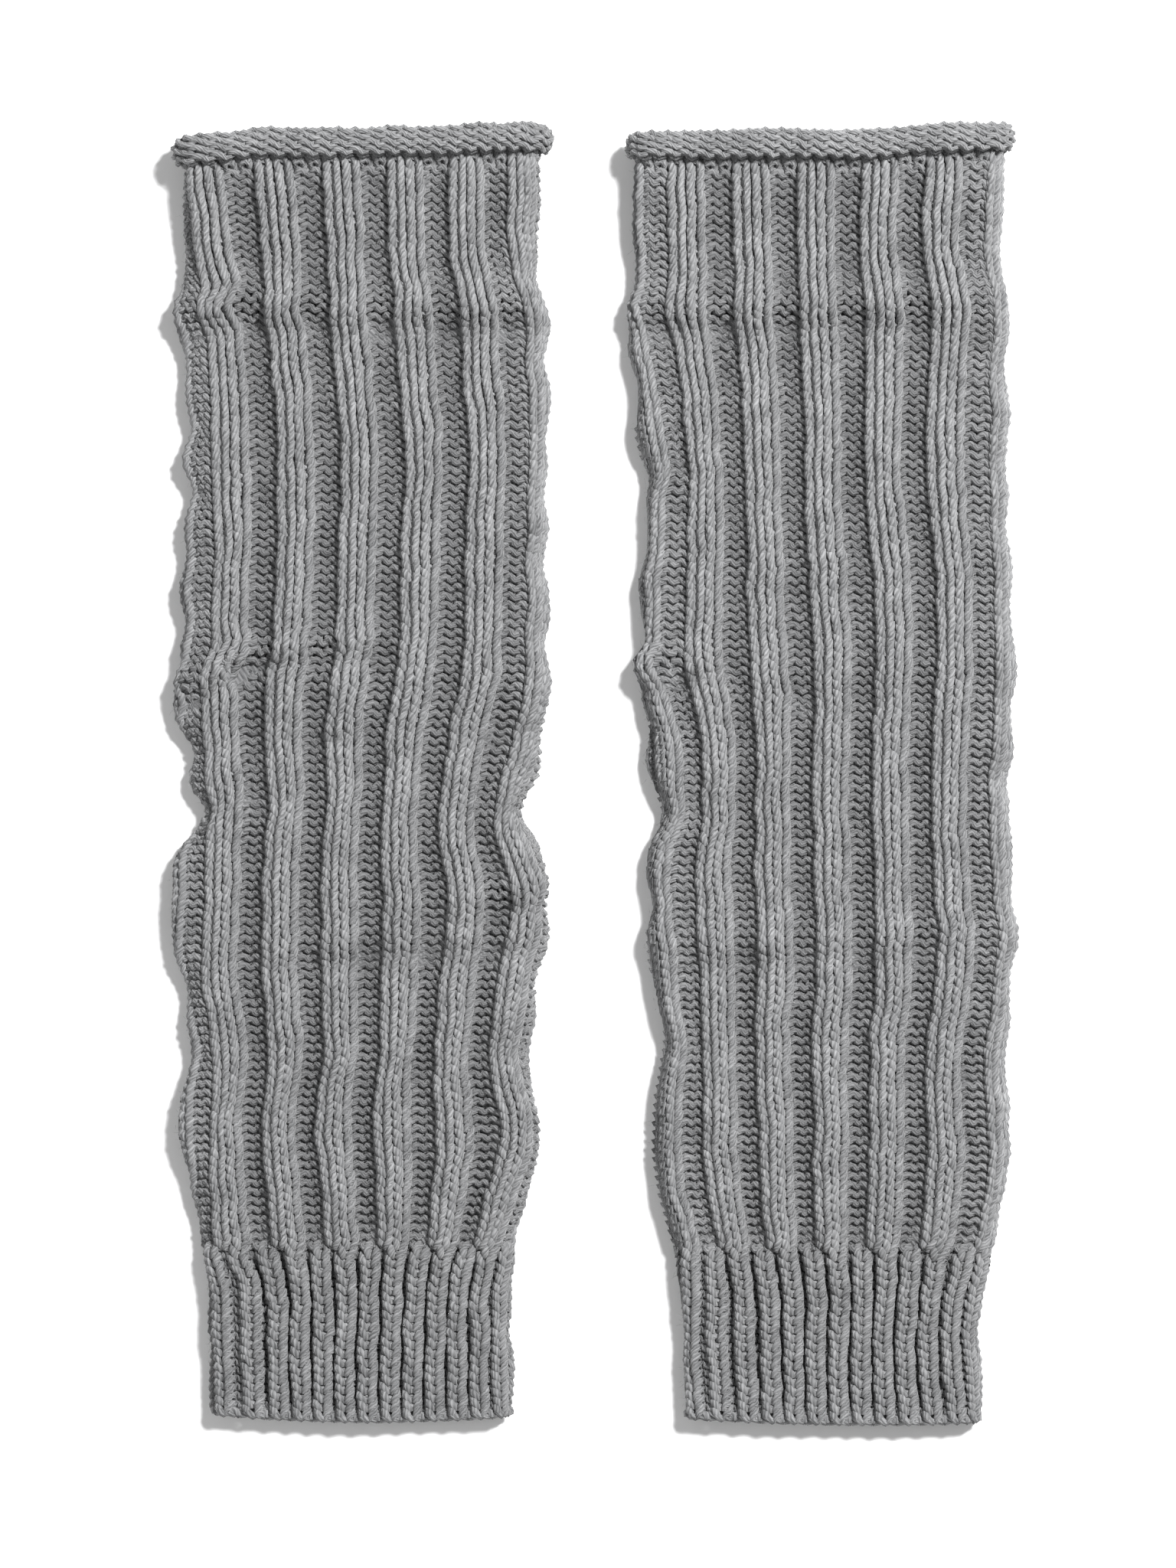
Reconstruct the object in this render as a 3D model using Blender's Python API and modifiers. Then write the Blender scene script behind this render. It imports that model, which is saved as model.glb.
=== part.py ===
"""A pair of chunky knitted leg warmers, laid flat side by side on a table.

Each warmer is one seamless tube, knitted in the round in three stretches: a rolled top edge, a leg in
two-by-two rib and an ankle cuff in one-by-one rib. It lies on its back half: +Y runs from the cuff to
the roll, +Z is up off the table, and the wall is hollow from end to end.
Lengths in the tables are millimetres; the mesh is in metres.
"""

import math

import bmesh
import bpy
from mathutils import Vector

MM = 0.001

# Driving sizes, in millimetres
CLOTH = 2.6  # wall of the ribbed leg and cuff
ROLL_CLOTH = 2.0  # wall of the plain knitting in the roll
SEAM_GAP = 0.3  # between two stretches of one tube
LEG_GUTTER = 2.6  # how far a purl gutter sinks below the bands, at its middle
LEG_GUTTER_UNDER = 0.8  # the same underneath, where the weight presses the bands flat
CUFF_GUTTER = 1.7
ROLL_REACH = 6.0  # the roll outside the leg's face, and so the lift of the leg's end off the table
ROLL_HEIGHT = 11.4
LIFT_FROM = 366.0  # the height above which the leg rises towards the roll
REPEATS = 13  # repeats of two-by-two rib round the tube, each two ribs of the cuff
ROLL_STEPS = 32  # points round the roll

# One row for each section. height is from the cuff's edge; left and right are the outline, rib_1, rib_3
# and rib_5 the left side of the second, fourth and sixth band, all from the warmer's middle line; thick
# is from the table to the top of the bands, so it shows the folds that cross the leg.
COLUMNS = ("height", "left", "right", "rib_1", "rib_3", "rib_5", "thick")

LEFT_LEG = (
    (437.0, -61.5, 62.8, -36.4, 10.2, 52.0, 14.0),
    (401.0, -59.6, 61.5, -33.3, 11.3, 53.4, 14.2),
    (388.0, -62.6, 64.6, -31.4, 12.8, 56.8, 16.0),
    (377.0, -62.4, 65.8, -30.5, 13.4, 57.6, 13.4),
    (349.0, -59.4, 65.6, -29.3, 15.4, 60.0, 14.2),
    (287.0, -61.8, 65.0, -28.8, 15.0, 59.0, 14.0),
    (256.0, -63.9, 65.9, -31.5, 12.9, 57.9, 15.6),
    (237.0, -59.4, 61.7, -32.2, 10.9, 53.9, 13.6),
    (209.0, -53.0, 56.3, -32.2, 9.0, 47.9, 14.6),
    (183.0, -64.2, 64.6, -33.0, 8.7, 53.0, 14.4),
    (156.0, -60.5, 61.5, -33.2, 8.4, 49.5, 13.4),
    (127.0, -58.4, 58.2, -31.4, 7.3, 45.7, 14.2),
    (100.0, -62.1, 61.9, -33.2, 6.2, 49.5, 14.2),
    (79.0, -58.3, 57.8, -31.8, 6.8, 45.1, 13.8),
    (59.0, -53.4, 53.6, -29.8, 7.2, 41.4, 13.4),
)
LEFT_CUFF = (
    (58.7, -53.2, 53.4, -28.6, 7.0, 40.4, 13.0),
    (46.0, -51.9, 52.3, -25.1, 6.2, 37.3, 12.8),
    (25.0, -51.8, 51.9, -24.5, 5.7, 37.1, 12.8),
    (0.0, -52.0, 52.8, -23.7, 5.7, 38.2, 13.0),
)
RIGHT_LEG = (
    (437.0, -66.0, 62.2, -30.9, 14.1, 58.9, 14.0),
    (400.0, -64.0, 60.9, -30.4, 14.6, 58.2, 14.2),
    (389.0, -65.2, 62.9, -29.6, 16.0, 60.4, 16.0),
    (377.0, -65.0, 63.8, -28.7, 15.9, 60.6, 13.4),
    (351.0, -63.5, 63.4, -27.2, 15.1, 59.9, 14.2),
    (292.0, -62.3, 65.0, -24.9, 18.2, 60.7, 14.0),
    (262.0, -62.9, 66.4, -24.3, 19.4, 61.3, 15.0),
    (239.0, -61.1, 64.5, -22.1, 17.9, 60.1, 13.6),
    (214.0, -58.2, 64.0, -22.1, 17.9, 59.5, 14.2),
    (191.0, -60.5, 64.8, -22.7, 18.9, 59.5, 13.8),
    (170.0, -60.3, 66.4, -21.6, 20.0, 61.8, 15.2),
    (127.0, -57.2, 63.2, -22.1, 16.8, 57.9, 13.8),
    (100.0, -57.6, 64.3, -21.6, 17.7, 58.4, 14.2),
    (79.0, -56.0, 62.2, -20.5, 17.3, 57.3, 13.8),
    (59.0, -50.8, 58.1, -18.2, 16.4, 54.6, 13.4),
)
RIGHT_CUFF = (
    (58.7, -50.6, 57.9, -17.8, 16.5, 54.0, 13.0),
    (46.0, -49.1, 55.6, -15.2, 17.0, 50.4, 12.8),
    (25.0, -48.0, 54.0, -14.7, 16.6, 48.6, 12.8),
    (0.0, -48.0, 54.6, -14.1, 17.3, 50.5, 13.0),
)

# middle is the warmer's middle line across the table and foot its cuff edge along it; the mouth leans
# and sags: rise_left and rise_right are its two ends above its middle.
WARMERS = {
    "left": {
        "leg": LEFT_LEG, "cuff": LEFT_CUFF, "middle": -80.0, "foot": 0.8,
        "rise_left": -1.9, "rise_right": 1.1,
    },
    "right": {
        "leg": RIGHT_LEG, "cuff": RIGHT_CUFF, "middle": 81.4, "foot": 0.0,
        "rise_left": 0.3, "rise_right": 3.6,
    },
}

# Where the four points of one rib repeat stand, as shares of it, and how far each sinks: in front and
# at the sides, and underneath.
LEG_RIB = (
    (0.00, 0.15 * LEG_GUTTER, 0.0),
    (0.28, 0.0, 0.0),
    (0.56, 0.15 * LEG_GUTTER, 0.0),
    (0.78, LEG_GUTTER, LEG_GUTTER_UNDER),
)
CUFF_RIB = ((0.06, CUFF_GUTTER, 0.0), (0.31, 0.0, 0.0), (0.56, CUFF_GUTTER, 0.0), (0.81, 0.0, 0.0))

# The roll's section, as degrees round its curl: up the inside, over the top, down to the lip
CURL_ANGLES = (180, 132, 90, 45, 0, -45, -96)

WOOL_GREY = (0.262, 0.27, 0.282, 1.0)


def ease(share):
    """Smooth step from 0 to 1."""
    share = min(max(share, 0.0), 1.0)
    return share * share * (3.0 - 2.0 * share)


def lift(height):
    """How far the tube's underside stands off the table, because the roll lies under its end."""
    top = 437.0
    return ROLL_REACH * ease((height - LIFT_FROM) / (top - LIFT_FROM))


def mouth_rise(warmer, x):
    """How far the mouth's edge stands above its middle, on a parabola through its two ends."""
    section = dict(zip(COLUMNS, warmer["leg"][0]))
    left, right = section["left"], section["right"]
    low, high = warmer["rise_left"] / left, warmer["rise_right"] / right
    bend = (high - low) / (right - left)
    return (low - bend * left) * x + bend * x * x


class Tube:
    """One section of the flattened tube: two flat faces joined by half-round sides."""

    def __init__(self, row):
        self.row = dict(zip(COLUMNS, row))
        self.radius = self.row["thick"] / 2
        self.flat = self.row["right"] - self.row["left"] - 2 * self.radius
        self.half = self.flat + math.pi * self.radius  # round the front, side to side
        self.first = self.repeat_at(0.0)
        self.last = self.repeat_at(self.half)

    def front_place(self, repeat):
        """Way round the front from the left side at which a rib repeat falls."""
        one, three, five = (self.row[name] for name in ("rib_1", "rib_3", "rib_5"))
        step, bend = (five - one) / 4, (five + one - 2 * three) / 8
        along = repeat - 3
        x = three + step * along + bend * along * along
        return x - self.row["left"] + self.radius * (math.pi / 2 - 1)

    def repeat_at(self, way):
        """The rib repeat, with its share, at a way round the front: bisection."""
        low, high = -4.0, 9.0
        for _ in range(40):
            middle = (low + high) / 2
            if self.front_place(middle) < way:
                low = middle
            else:
                high = middle
        return (low + high) / 2

    def place(self, repeat):
        """Way round the whole tube of a rib repeat: as shown in front, even behind."""
        while repeat < self.first:
            repeat += REPEATS
        while repeat >= self.first + REPEATS:
            repeat -= REPEATS
        if repeat <= self.last:
            return self.front_place(repeat)
        behind = (repeat - self.last) / (self.first + REPEATS - self.last)
        return self.half * (1 + behind)

    def point(self, way, out):
        """x and z of a way round the tube, moved out from its face."""
        under = way > self.half
        way = way - self.half if under else way
        quarter = math.pi / 2 * self.radius
        if way < quarter:
            angle, centre = math.pi - way / self.radius, -self.flat / 2
        elif way > quarter + self.flat:
            angle, centre = (quarter + self.flat - way) / self.radius + math.pi / 2, self.flat / 2
        else:
            angle, centre = math.pi / 2, way - quarter - self.flat / 2
        x = centre + (self.radius + out) * math.cos(angle)
        z = (self.radius + out) * math.sin(angle)
        if under:
            x, z = -x, -z
        return x + (self.row["left"] + self.row["right"]) / 2, z + self.radius


def rib_ring(warmer, row, rib, below):
    """The points of one ribbed section all the way round, at a depth below the cloth's face."""
    tube = Tube(row)
    height = tube.row["height"]
    top = warmer["leg"][0][0]
    near_mouth = ease((height - warmer["leg"][1][0]) / (top - warmer["leg"][1][0]))
    points = []
    for repeat in range(REPEATS):
        for share, sunk, sunk_under in rib:
            way = tube.place(repeat + share)
            x, z = tube.point(way, -below - (sunk_under if way > tube.half else sunk))
            y = height + near_mouth * mouth_rise(warmer, x)
            points.append((x, y, z + lift(height)))
    return points


def rib_rings(warmer, stretch, rib):
    """The rings of a ribbed stretch as one closed wall: up its face and down its inside."""
    rows = tuple(reversed(warmer[stretch]))
    face = [rib_ring(warmer, row, rib, 0.0) for row in rows]
    inside = [rib_ring(warmer, row, rib, CLOTH) for row in reversed(rows)]
    return face + inside


def roll_rings(warmer):
    """The rings of the outward roll, from the leg's edge up, over and down to the lip."""
    tube = Tube(warmer["leg"][0])
    foot = tube.row["height"] + SEAM_GAP
    centre_out = (ROLL_REACH - CLOTH) / 2
    reach = (ROLL_REACH + CLOTH) / 2
    centre_up = foot + ROLL_HEIGHT / 2 + 0.5
    profile = [(foot, -CLOTH)]
    for degrees in CURL_ANGLES:
        angle = math.radians(degrees)
        up = centre_up + ROLL_HEIGHT / 2 * math.sin(angle)
        profile.append((up, centre_out + reach * math.cos(angle)))
    rings = []
    for up, out in profile:
        ring = []
        for step in range(ROLL_STEPS):
            x, z = tube.point(2 * tube.half * step / ROLL_STEPS, out)
            ring.append((x, up + mouth_rise(warmer, x), z + ROLL_REACH))
        rings.append(ring)
    return rings


def knit_material(name, shade):
    material = bpy.data.materials.new(name)
    material.use_nodes = True
    shader = material.node_tree.nodes["Principled BSDF"]
    shader.inputs["Base Color"].default_value = [c * shade for c in WOOL_GREY[:3]] + [1.0]
    shader.inputs["Roughness"].default_value = 0.92
    shader.inputs["Metallic"].default_value = 0.0
    return material


def loft(name, rings, warmer, closed, material, collection):
    """A loft through rings of points, joined back to the first where the wall is closed.

    A closed wall's rings go up its face; the open curl's go up the tube's inside, so its faces turn
    the other way.
    """
    mesh = bpy.data.meshes.new(name)
    build = bmesh.new()
    across, along = warmer["middle"], warmer["foot"]
    loops = [
        [build.verts.new(Vector((x + across, y + along, z)) * MM) for x, y, z in ring] for ring in rings
    ]
    following = loops[1:] + loops[:1] if closed else loops[1:]
    for lower, upper in zip(loops, following):
        for i, corner in enumerate(lower):
            j = (i + 1) % len(lower)
            face = (corner, upper[i], upper[j], lower[j])
            build.faces.new(face[::-1] if closed else face)
    build.to_mesh(mesh)
    build.free()
    mesh.materials.append(material)
    mesh.shade_smooth()
    mesh.set_sharp_from_angle(angle=math.radians(50))
    thing = bpy.data.objects.new(name, mesh)
    collection.objects.link(thing)
    return thing


def roll(name, warmer, material, collection):
    """The rolled edge: its curl as an open surface, thickened inwards."""
    thing = loft(name, roll_rings(warmer), warmer, False, material, collection)
    skin = thing.modifiers.new("cloth", "SOLIDIFY")
    skin.thickness = ROLL_CLOTH * MM
    skin.offset = -1.0
    skin.use_even_offset = True
    return thing


def stand_on_origin(things):
    """Moves the pair so that the middle of its box stands on the origin."""
    corners = [corner.co for thing in things for corner in thing.data.vertices]
    middle = [(max(c[axis] for c in corners) + min(c[axis] for c in corners)) / 2 for axis in (0, 1)]
    ground = min(c[2] for c in corners)
    for thing in things:
        for corner in thing.data.vertices:
            corner.co -= Vector((middle[0], middle[1], ground))


def build_pair():
    for thing in list(bpy.data.objects):
        bpy.data.objects.remove(thing, do_unlink=True)
    collection = bpy.data.collections.new("leg_warmers")
    bpy.context.scene.collection.children.link(collection)
    looks = {
        "top_roll": knit_material("roll_knit", 1.06),
        "leg": knit_material("leg_rib", 1.0),
        "cuff": knit_material("cuff_rib", 0.95),
    }
    things = []
    for side, warmer in WARMERS.items():
        leg = rib_rings(warmer, "leg", LEG_RIB)
        cuff = rib_rings(warmer, "cuff", CUFF_RIB)
        things.append(roll(f"{side}_top_roll", warmer, looks["top_roll"], collection))
        things.append(loft(f"{side}_leg", leg, warmer, True, looks["leg"], collection))
        things.append(loft(f"{side}_cuff", cuff, warmer, True, looks["cuff"], collection))
    stand_on_origin(things)


build_pair()
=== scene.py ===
"""Knits the surface of a pair of chunky wool leg warmers, stitch by stitch, round their plain solids.

Each warmer is one seamless tube: a rolled edge of plain knitting, a leg in two-by-two rib and an ankle
cuff in one-by-one rib. Every course is a yarn that loops through the course below it, on a cloth surface
worked out from the warmer's sections, its rib and its creases. A thin shell closes the tube behind the
loops, and short loose fibres stand off the yarn. Lengths in the tables are millimetres.
"""

import math

import bpy
import numpy as np
from bpy.props import FloatProperty, FloatVectorProperty, IntProperty, PointerProperty
from bpy.types import Operator, Panel, PropertyGroup
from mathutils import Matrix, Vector


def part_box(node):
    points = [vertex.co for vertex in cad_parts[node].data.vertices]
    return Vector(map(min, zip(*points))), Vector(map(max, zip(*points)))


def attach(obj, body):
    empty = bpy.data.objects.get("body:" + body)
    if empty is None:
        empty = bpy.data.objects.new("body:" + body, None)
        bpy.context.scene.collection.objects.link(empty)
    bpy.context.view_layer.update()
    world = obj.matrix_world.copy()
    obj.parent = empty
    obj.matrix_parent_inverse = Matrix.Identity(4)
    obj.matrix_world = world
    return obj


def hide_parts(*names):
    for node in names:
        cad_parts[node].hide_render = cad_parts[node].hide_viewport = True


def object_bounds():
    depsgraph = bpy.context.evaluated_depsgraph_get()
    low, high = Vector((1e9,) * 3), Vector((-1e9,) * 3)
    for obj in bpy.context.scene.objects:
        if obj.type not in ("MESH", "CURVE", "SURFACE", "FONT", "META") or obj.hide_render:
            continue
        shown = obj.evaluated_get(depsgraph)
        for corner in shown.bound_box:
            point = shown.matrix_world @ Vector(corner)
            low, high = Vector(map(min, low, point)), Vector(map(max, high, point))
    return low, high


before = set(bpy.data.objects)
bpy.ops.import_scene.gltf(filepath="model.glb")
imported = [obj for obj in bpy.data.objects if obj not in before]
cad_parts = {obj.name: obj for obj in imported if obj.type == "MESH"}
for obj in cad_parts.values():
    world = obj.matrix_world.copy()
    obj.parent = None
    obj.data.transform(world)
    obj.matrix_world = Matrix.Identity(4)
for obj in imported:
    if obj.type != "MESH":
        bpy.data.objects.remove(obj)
CAD_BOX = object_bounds()

bl_info = {
    "name": "Knitted leg warmers",
    "version": (1, 0, 0),
    "blender": (4, 5, 0),
    "location": "3D View > Sidebar > Leg warmers",
    "description": "Knits a pair of ribbed leg warmers over their plain solids",
    "category": "Object",
}

MM = 0.001
SIDES = ("left", "right")

# ---------------------------------------------------------------- the knitting

REPEATS = 13  # two-by-two rib repeats round the tube, four wales each
WALES = 4 * REPEATS
CUFF_ROWS = 19
LEG_ROWS = 120
ROLL_ROWS = 9
CUFF_TOP = 59.0  # height at which the cuff turns into the leg
TUBE_TOP = 437.0  # height at which the leg turns into the roll
ROW = TUBE_TOP / (CUFF_ROWS + LEG_ROWS)
ROLL_ROW = 2.4  # the roll's rows are pressed together by its curl
FRONT_WALES = 28  # wales that can be seen from above, from the third before the first band
FIRST_WALE = -3

# Where the four wales of a repeat begin, as shares of it
LEG_WALES = (0.0, 0.28, 0.56, 0.78, 1.0)
CUFF_WALES = (0.0, 0.12, 0.50, 0.62, 1.0)
ROLL_WALES = (0.0, 0.25, 0.5, 0.75, 1.0)
# 1 for a knit wale, whose loops' legs stand forward, and -1 for a purl wale, whose heads do
LEG_STITCHES = (1, 1, -1, -1)
CUFF_STITCHES = (-1, 1, -1, 1)
ROLL_STITCHES = (1, 1, 1, 1)
# Loops are tight in the cuff and up to TIGHT_TO, and open out over the next OPENING
TIGHT_TO = 90.0
OPENING = 300.0
TIGHT_REACH = 0.88  # a tight loop's height and yarn, as shares of an open one's
TIGHT_YARN = 0.95
ROLL_YARN = 0.92
ROLL_DEPTH = 0.95
FORWARD_YARN = 0.13  # how much plumper the yarn of a loop that stands forward looks
FORWARD_REACH = 0.09

# ---------------------------------------------------------------- the warmers' sections

# Height and distance from the warmer's middle line, up each side of its outline
OUTLINES = {
    "left": (
        ((0, -52.5), (12, -53), (30, -52.5), (46, -53), (60, -55.5), (80, -59), (97, -63.5), (110, -62.5),
         (127, -59), (136, -60.5), (148, -60), (164, -64.5), (182, -65.5), (195, -64), (203, -58.5),
         (210, -55.5), (222, -60.5), (233, -58.5), (249, -65), (259, -62), (268, -63), (278, -61),
         (289, -62.5), (300, -60), (310, -61.5), (322, -58.5), (333, -61.5), (342, -59.5), (352, -60.5),
         (372, -60.5), (381, -63.5), (391, -62), (403, -61.5), (420, -62), (430, -61.5), (437, -61)),
        ((0, 54), (14, 55), (33, 53.5), (46, 54), (64, 56), (84, 61), (100, 64), (128, 60), (142, 62.5),
         (150, 62), (165, 66.5), (178, 66.5), (195, 65.5), (203, 62), (210, 58), (227, 64.5), (236, 64.5),
         (255, 67.5), (267, 65), (283, 67.5), (296, 64.5), (312, 66.5), (321, 65), (333, 66), (343, 65),
         (353, 67), (369, 65), (381, 66.5), (393, 62.5), (405, 63), (420, 64), (437, 63.5)),
    ),
    "right": (
        ((0, -48), (20, -48.5), (38, -48.5), (50, -50.5), (68, -54.5), (84, -58), (97, -59.5), (128, -58),
         (148, -58.5), (168, -62), (179, -60), (190, -62), (215, -59.5), (230, -62.5), (242, -61),
         (256, -65), (271, -62.5), (287, -64.5), (298, -62.5), (325, -63), (343, -66), (356, -64),
         (378, -67.5), (398, -64.5), (408, -66), (425, -65.5), (437, -65)),
        ((0, 56.5), (10, 57), (30, 56), (41, 57), (57, 61), (73, 62.5), (82, 64.5), (98, 66),
         (126, 66), (140, 66.5), (152, 66), (169, 68), (181, 66.5), (203, 67.5), (216, 66), (235, 67.5),
         (243, 66.5), (261, 69), (282, 66), (295, 67), (311, 65), (323, 66), (335, 65), (352, 66.5),
         (367, 64.5), (384, 65.5), (402, 62.5), (418, 63.5), (437, 64)),
    ),
}
# One row for each section. height is from the cuff's edge; rib_1, rib_3 and rib_5 are the left side of the
# second, fourth and sixth band, from the middle line; spread is how far the first band's left side lies
# further out than the others would put it; thick is from the underside to the top of the bands.
SECTION = ("height", "rib_1", "rib_3", "rib_5", "spread", "thick")
SECTIONS = {
    "left": (
        (0, -24.8, 5.9, 37.4, 3.5, 13.0),
        (25, -25.2, 5.9, 36.8, 3.5, 12.8),
        (46, -25.5, 6.3, 37.2, 3.0, 12.8),
        (59, -29.2, 7.1, 40.9, 1.5, 13.2),
        (79, -31.8, 6.8, 45.1, 0.5, 13.8),
        (100, -33.2, 6.2, 49.5, 0, 14.2),
        (127, -31.4, 7.3, 45.7, 0, 14.2),
        (156, -33.2, 8.4, 49.5, 0, 13.4),
        (183, -33.0, 8.7, 53.0, 0, 14.4),
        (209, -32.2, 9.0, 47.9, 0, 14.6),
        (237, -32.2, 10.9, 53.9, 0, 13.6),
        (256, -31.5, 12.9, 57.9, 0, 15.6),
        (287, -28.8, 15.0, 59.0, 0, 14.0),
        (349, -29.3, 15.4, 60.0, 0, 14.2),
        (377, -30.5, 13.4, 57.6, 0, 13.4),
        (388, -31.4, 12.8, 56.8, 0, 16.0),
        (401, -33.3, 11.3, 53.4, 0, 14.2),
        (437, -36.4, 10.2, 52.0, 0, 14.0),
    ),
    "right": (
        (0, -14.1, 17.3, 50.5, 2.0, 13.0),
        (25, -14.7, 16.6, 48.6, 2.0, 12.8),
        (46, -15.2, 17.0, 50.4, 1.5, 12.8),
        (59, -18.0, 16.4, 54.3, 0.8, 13.2),
        (79, -20.5, 17.3, 57.3, 0.3, 13.8),
        (100, -21.6, 17.7, 58.4, 0, 14.2),
        (127, -22.1, 16.8, 57.9, 0, 13.8),
        (170, -21.6, 20.0, 61.8, 0, 15.2),
        (191, -22.7, 18.9, 59.5, 0, 13.8),
        (214, -22.1, 17.9, 59.5, 0, 14.2),
        (239, -22.1, 17.9, 60.1, 0, 13.6),
        (262, -24.3, 19.4, 61.3, 0, 15.0),
        (292, -24.9, 18.2, 60.7, 0, 14.0),
        (351, -27.2, 15.1, 59.9, 0, 14.2),
        (377, -28.7, 15.9, 60.6, 0, 13.4),
        (389, -29.6, 16.0, 60.4, 0, 16.0),
        (400, -30.4, 14.6, 58.2, 0, 14.2),
        (437, -30.9, 14.1, 58.9, 0, 14.0),
    ),
}
CUFF_MIDDLES = {"left": 0.1, "right": 3.65}  # the widest part of each cuff's middle, from the middle line
# The two ends of each edge above its middle, as the tube leans and sags: the mouth's, then the foot's
EDGE_RISE = {"left": ((-1.9, 1.1), (2.6, 2.0)), "right": ((0.3, 3.6), (2.0, 0.4))}
CLOTH = 2.6  # thickness of the ribbed cloth
ROLL_HEIGHT = 11.4  # the roll's size along the warmer
ROLL_MIDDLE = 6.5  # the roll's middle above the tube's end
ROLL_LIFT = 6.0  # the roll lies under the tube's end and lifts it off the table
ROLL_PRESSED = 2.2  # how much of the lift the weight on the roll takes away
ROLL_TUCKED = 1.6  # how far the roll draws the tube's sides in
LIFT_FROM = 396.0  # height at which the lift starts
ON_TABLE = 0.04  # the lowest that the yarn lies

# Creases in the upper side. height and across are the middle of each, length and width its reach along
# and across its line, turn the line's slope in degrees and rise its height, or depth if below 0.
CREASE = ("height", "across", "length", "width", "turn", "rise")
CREASES = {
    "left": (
        (388, -46, 24, 4.8, 2, 2.3),
        (379, -40, 30, 5.0, 3, -1.4),
        (378, 24, 40, 5.2, -3, -1.5),
        (387, 26, 34, 5.0, -2, 1.2),
        (260, -51, 18, 3.2, 27, 3.4),
        (254, -47, 22, 3.4, 26, -2.4),
        (270, -17, 24, 3.4, 4, 2.3),
        (263, -14, 24, 3.8, 4, -1.5),
        (236, -8, 9, 2.5, 0, -2.0),
        (213, -48, 14, 5.0, 16, -2.0),
        (212, 50, 14, 6.0, -20, -1.5),
        (182, 42, 24, 4.8, 5, 2.1),
        (174, 44, 22, 4.5, 6, -1.6),
        (160, 12, 50, 5.0, 2, -2.0),
        (168, 6, 44, 4.5, 2, 1.2),
        (129, 50, 16, 6.0, -10, -1.6),
        (131, -50, 16, 6.0, 8, -1.4),
        (347, -52, 12, 5.0, 10, -1.4),
        (322, -54, 12, 5.0, -8, -1.2),
        (300, 54, 12, 5.0, 8, -1.4),
        (240, 54, 14, 6.0, -12, -1.4),
        (352, -6, 26, 5.0, -4, 0.9),
        (118, 4, 34, 7.0, 3, -0.9),
    ),
    "right": (
        (389, -10, 64, 4.8, 0, 1.9),
        (380, -16, 60, 5.0, 0, -1.5),
        (265, -54, 10, 3.0, 24, 2.8),
        (257, -46, 15, 3.2, 8, -2.8),
        (252, -10, 8, 3.0, -52, -1.2),
        (252, -3, 8, 3.0, 52, -1.2),
        (262, 20, 40, 5.0, 2, 1.0),
        (169, 0, 62, 4.8, 0, 1.7),
        (160, -6, 54, 5.0, 0, -1.3),
        (214, -50, 14, 6.0, 14, -1.6),
        (225, 56, 12, 6.0, -16, -1.4),
        (118, 40, 26, 6.0, 6, -1.4),
        (335, 56, 12, 6.0, 8, -1.2),
        (333, -58, 12, 6.0, -10, -1.4),
        (131, -52, 12, 6.0, 10, -1.2),
        (311, 56, 12, 5.0, -6, -1.0),
    ),
}
# Sideways pushes, to the right where above 0: the middle, the reach up and across, and the push
SWAY = ("height", "across", "reach_up", "reach_across", "push")
SWAYS = {
    "left": (
        (397, -46, 7, 9, 1.6),
        (386, -46, 4.5, 9, -3.0),
        (385, -22, 5, 11, -2.0),
        (384, 6, 6, 12, -1.0),
        (330, 20, 14, 30, 0.8),
        (270, -44, 6, 13, 2.2),
        (257, -44, 6, 13, -2.2),
        (236, 30, 12, 24, -0.9),
    ),
    "right": (
        (386, -40, 6, 40, -1.2),
        (332, -60, 12, 20, 1.6),
        (262, -58, 5, 9, -2.2),
        (236, 0, 12, 34, 0.6),
        (213, -56, 9, 10, 1.8),
        (131, -54, 10, 12, 1.8),
    ),
}


def smooth_between(at, known, values):
    """Values between the known heights, on one smooth curve through them."""
    known, values = np.asarray(known, float), np.asarray(values, float)
    slopes = np.gradient(values, known)
    at = np.clip(at, known[0], known[-1])
    i = np.clip(np.searchsorted(known, at) - 1, 0, len(known) - 2)
    gap = known[i + 1] - known[i]
    s = (at - known[i]) / gap
    bend_up, bend_down = (1 + 2 * s) * (1 - s) ** 2, s * s * (3 - 2 * s)
    ends = values[i] * bend_up + values[i + 1] * bend_down
    return ends + gap * (slopes[i] * s * (1 - s) ** 2 - slopes[i + 1] * s * s * (1 - s))


def ease(share):
    """Smooth step from 0 to 1."""
    share = np.clip(share, 0.0, 1.0)
    return share * share * (3.0 - 2.0 * share)


def mixed(a, b, share):
    """The value a share of the way from a to b."""
    return a + (b - a) * share


def unit(vectors):
    """The vectors at a length of 1."""
    return vectors / np.maximum(np.linalg.norm(vectors, axis=-1, keepdims=True), 1e-9)


def ripple(x, y, seed, reach):
    """A smooth uneven field of about -1 to 1: a few plane waves with seeded directions."""
    waves = 7
    draw = np.random.default_rng(seed)
    total = np.zeros(np.broadcast(x, y).shape)
    for _ in range(waves):
        turn, phase = draw.uniform(0, 2 * math.pi, 2)
        length = reach * draw.uniform(0.7, 1.6)
        total += np.sin(2 * math.pi * (x * math.cos(turn) + y * math.sin(turn)) / length + phase)
    return total / math.sqrt(waves / 2) / 1.6


def rib_wave(turns, edge, steep):
    """1 on a rib's crown and 0 in its gutter; edge shares out their widths."""
    low, high = np.tanh(steep * (edge - 1)), np.tanh(steep * (edge + 1))
    return (np.tanh(steep * (np.cos(2 * math.pi * turns) + edge)) - low) / (high - low)


# ---------------------------------------------------------------- sizes and colours a user may change


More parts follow.
